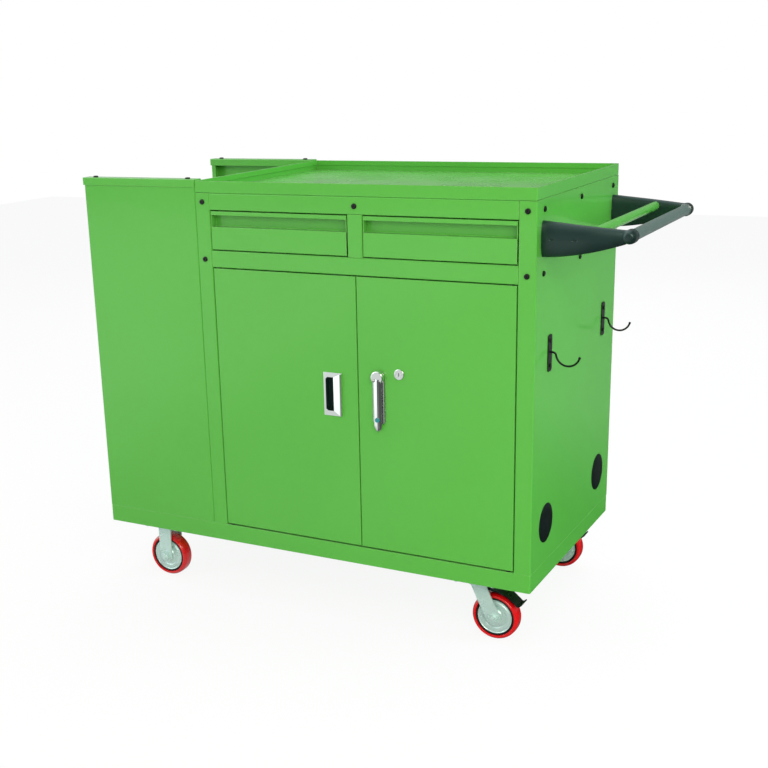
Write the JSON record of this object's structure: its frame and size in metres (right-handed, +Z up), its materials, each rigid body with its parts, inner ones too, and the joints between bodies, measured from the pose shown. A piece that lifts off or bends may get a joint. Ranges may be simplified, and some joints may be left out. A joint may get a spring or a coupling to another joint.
{
  "type": "rolling tool chest",
  "caption": "Sheet-metal tool cabinet on casters with a top tray, drawers, a two-door cupboard, an open side bay, tool hooks and a push handle.",
  "frame": {"origin": "on the floor, under the middle of the overall box", "axes": "+X towards the push handle, +Y towards the back, +Z up; doors and drawers face -Y"},
  "size_m": [1.2174, 0.5458, 0.9398],
  "materials": {
    "green_paint": "glossy powder coat",
    "zinc_plate": "bright zinc plate",
    "black_plastic": "satin moulded nylon",
    "grey_tube": "satin grey tube",
    "chrome": "polished chrome plate",
    "satin_steel": "satin cast metal",
    "teal_button": "gloss moulded button",
    "black_screw": "black oxide steel",
    "black_steel": "black coated wire and plate",
    "black_rubber": "moulded rubber cover",
    "red_tread": "glossy cast polyurethane",
    "wheel_hub": "moulded hub with a grey face"
  },
  "bodies": {
    "root": {"back_panel": "green_paint", "base_tray": "green_paint", "bay_caps": "green_paint", "bay_front_panel": "green_paint", "bay_rear_panel": "green_paint", "caster_bolts": "zinc_plate", "caster_brackets": "zinc_plate", "door_pivot_pins": "black_screw", "drawer_deck": "green_paint", "floor_deck": "green_paint", "handle_arm_front": "black_plastic", "handle_arm_rear": "black_plastic", "handle_cross_bar": "green_paint", "handle_grip_tube": "grey_tube", "inner_shelf": "green_paint", "magnetic_catch": "zinc_plate", "middle_rail": "green_paint", "mullion_divider": "green_paint", "panel_screws": "black_screw", "round_covers": "black_rubber", "runner_outer_members": "zinc_plate", "shelf_clips": "zinc_plate", "side_panel_left": "green_paint", "side_panel_right": "green_paint", "tool_hooks": "black_steel", "top_rail": "green_paint", "top_tray": "green_paint"},
    "left_drawer": {"drawer_box_left": "green_paint", "drawer_front_left": "green_paint", "runner_inner_left": "zinc_plate"},
    "right_drawer": {"drawer_box_right": "green_paint", "drawer_front_right": "green_paint", "runner_inner_right": "zinc_plate"},
    "left_runners": {"runner_middle_left": "zinc_plate"},
    "right_runners": {"runner_middle_right": "zinc_plate"},
    "left_door": {"door_left": "green_paint", "pull_bezel": "chrome", "pull_cup": "black_plastic"},
    "right_door": {"door_right": "green_paint", "handle_base": "satin_steel", "lock_housing": "chrome", "rod_guides": "zinc_plate"},
    "handle_turner": {"handle_head": "chrome"},
    "swing_lever": {"handle_lever": "chrome"},
    "release_button": {"lever_button": "teal_button"},
    "upper_rod": {"latch_rod_upper": "zinc_plate"},
    "lower_rod": {"latch_rod_lower": "zinc_plate"},
    "lock_cylinder": {"lock_plug": "chrome"},
    "front_swivel": {"swivel_fork_front": "zinc_plate"},
    "rear_swivel": {"swivel_fork_rear": "zinc_plate"},
    "front_pedal": {"brake_pedal_front": "black_steel"},
    "rear_pedal": {"brake_pedal_rear": "black_steel"},
    "wheel_front_right": {"wheel_tread_front_right": "red_tread", "wheel_hub_front_right": "wheel_hub"},
    "wheel_rear_right": {"wheel_tread_rear_right": "red_tread", "wheel_hub_rear_right": "wheel_hub"},
    "wheel_front_left": {"wheel_tread_front_left": "red_tread", "wheel_hub_front_left": "wheel_hub"},
    "wheel_rear_left": {"wheel_tread_rear_left": "red_tread", "wheel_hub_rear_left": "wheel_hub"}
  },
  "joints": [
    {"name": "drawer_left_slide", "type": "slide", "parent": "root", "child": "left_drawer", "axis": [0, -1, 0], "range_m": [0, 0.38]},
    {"name": "runner_left_slide", "type": "slide", "parent": "root", "child": "left_runners", "axis": [0, -1, 0], "range_m": [0, 0.19]},
    {"name": "drawer_right_slide", "type": "slide", "parent": "root", "child": "right_drawer", "axis": [0, -1, 0], "range_m": [0, 0.38]},
    {"name": "runner_right_slide", "type": "slide", "parent": "root", "child": "right_runners", "axis": [0, -1, 0], "range_m": [0, 0.19]},
    {"name": "door_left_hinge", "type": "hinge", "parent": "root", "child": "left_door", "pos_m": [-0.26655, -0.2536, 0.46435], "axis": [0, 0, -1], "range_deg": [0, 110]},
    {"name": "door_right_hinge", "type": "hinge", "parent": "root", "child": "right_door", "pos_m": [0.38705, -0.2536, 0.46435], "axis": [0, 0, 1], "range_deg": [0, 110]},
    {"name": "handle_turn", "type": "hinge", "parent": "right_door", "child": "handle_turner", "pos_m": [0.10825, -0.2601, 0.551], "axis": [0, -1, 0], "range_deg": [0, 90]},
    {"name": "lever_pop", "type": "hinge", "parent": "handle_turner", "child": "swing_lever", "pos_m": [0.10825, -0.2684, 0.5445], "axis": [-1, 0, 0], "range_deg": [0, 35]},
    {"name": "button_press", "type": "slide", "parent": "swing_lever", "child": "release_button", "axis": [0, 1, 0], "range_m": [0, 0.0015], "stiffness_N_per_m": 300},
    {"name": "upper_rod_slide", "type": "slide", "parent": "right_door", "child": "upper_rod", "axis": [0, 0, 1], "range_m": [0, 0.0121]},
    {"name": "lower_rod_slide", "type": "slide", "parent": "right_door", "child": "lower_rod", "axis": [0, 0, -1], "range_m": [0, 0.0121]},
    {"name": "lock_turn", "type": "hinge", "parent": "right_door", "child": "lock_cylinder", "pos_m": [0.15375, -0.2601, 0.56], "axis": [0, 1, 0], "range_deg": [0, 90]},
    {"name": "front_caster_swivel", "type": "hinge", "parent": "root", "child": "front_swivel", "pos_m": [0.30825, -0.2071, 0.1222], "axis": [0, 0, 1], "continuous": true},
    {"name": "front_right_wheel_spin", "type": "hinge", "parent": "front_swivel", "child": "wheel_front_right", "pos_m": [0.34625, -0.2071, 0.0508], "axis": [0, 1, 0], "continuous": true},
    {"name": "front_left_wheel_spin", "type": "hinge", "parent": "root", "child": "wheel_front_left", "pos_m": [-0.47975, -0.2071, 0.0508], "axis": [0, 1, 0], "continuous": true},
    {"name": "front_brake_pedal", "type": "hinge", "parent": "front_swivel", "child": "front_pedal", "pos_m": [0.32825, -0.2071, 0.1108], "axis": [0, 1, 0], "range_deg": [0, 5]},
    {"name": "rear_caster_swivel", "type": "hinge", "parent": "root", "child": "rear_swivel", "pos_m": [0.30825, 0.2169, 0.1222], "axis": [0, 0, 1], "continuous": true},
    {"name": "rear_right_wheel_spin", "type": "hinge", "parent": "rear_swivel", "child": "wheel_rear_right", "pos_m": [0.34625, 0.2169, 0.0508], "axis": [0, 1, 0], "continuous": true},
    {"name": "rear_left_wheel_spin", "type": "hinge", "parent": "root", "child": "wheel_rear_left", "pos_m": [-0.47975, 0.2169, 0.0508], "axis": [0, 1, 0], "continuous": true},
    {"name": "rear_brake_pedal", "type": "hinge", "parent": "rear_swivel", "child": "rear_pedal", "pos_m": [0.32825, 0.2169, 0.1108], "axis": [0, 1, 0], "range_deg": [0, 5]}
  ],
  "couplings": [
    {"joint": "runner_left_slide", "follows": "drawer_left_slide", "ratio": 0.5},
    {"joint": "runner_right_slide", "follows": "drawer_right_slide", "ratio": 0.5},
    {"joint": "upper_rod_slide", "follows": "handle_turn", "m_per_rad": 0.0076394},
    {"joint": "lower_rod_slide", "follows": "handle_turn", "m_per_rad": 0.0076394}
  ]
}
